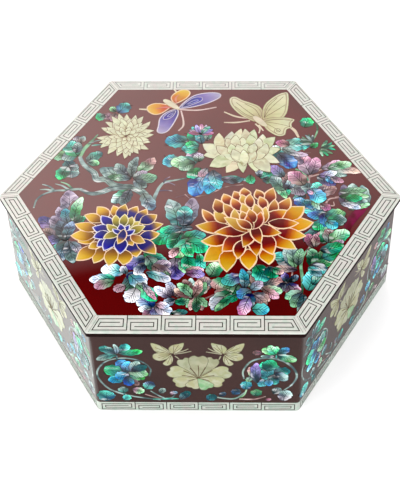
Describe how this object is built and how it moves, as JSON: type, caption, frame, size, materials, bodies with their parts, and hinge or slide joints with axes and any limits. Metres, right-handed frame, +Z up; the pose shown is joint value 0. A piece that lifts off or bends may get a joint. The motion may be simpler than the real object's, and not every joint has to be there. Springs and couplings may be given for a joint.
{
  "type": "hexagonal box",
  "caption": "Hexagonal lacquered wooden box with a lift-off lid, mother-of-pearl flower inlay and fret borders, for jewellery and small things.",
  "frame": {"origin": "middle of the underside, at the height of the surface the box stands on", "axes": "+X to the right across two opposite corners, +Y to the back square to the front side, +Z up"},
  "size_m": [0.2194, 0.1906, 0.07],
  "materials": {
    "lacquer": "wood under polished dark red lacquer",
    "shell": "polished ivory mother of pearl"
  },
  "bodies": {
    "root": {"wall_front": "lacquer", "wall_front_right": "lacquer", "wall_back_right": "lacquer", "wall_back": "lacquer", "wall_back_left": "lacquer", "wall_front_left": "lacquer", "floor": "lacquer", "lid_board": "lacquer", "lid_rim_front": "lacquer", "lid_rim_front_right": "lacquer", "lid_rim_back_right": "lacquer", "lid_rim_back": "lacquer", "lid_rim_back_left": "lacquer", "lid_rim_front_left": "lacquer", "lid_border_front": "shell", "lid_border_front_right": "shell", "lid_border_back_right": "shell", "lid_border_back": "shell", "lid_border_back_left": "shell", "lid_border_front_left": "shell", "foot_border_front": "shell", "foot_border_front_right": "shell", "foot_border_back_right": "shell", "foot_border_back": "shell", "foot_border_back_left": "shell", "foot_border_front_left": "shell"}
  },
  "joints": []
}
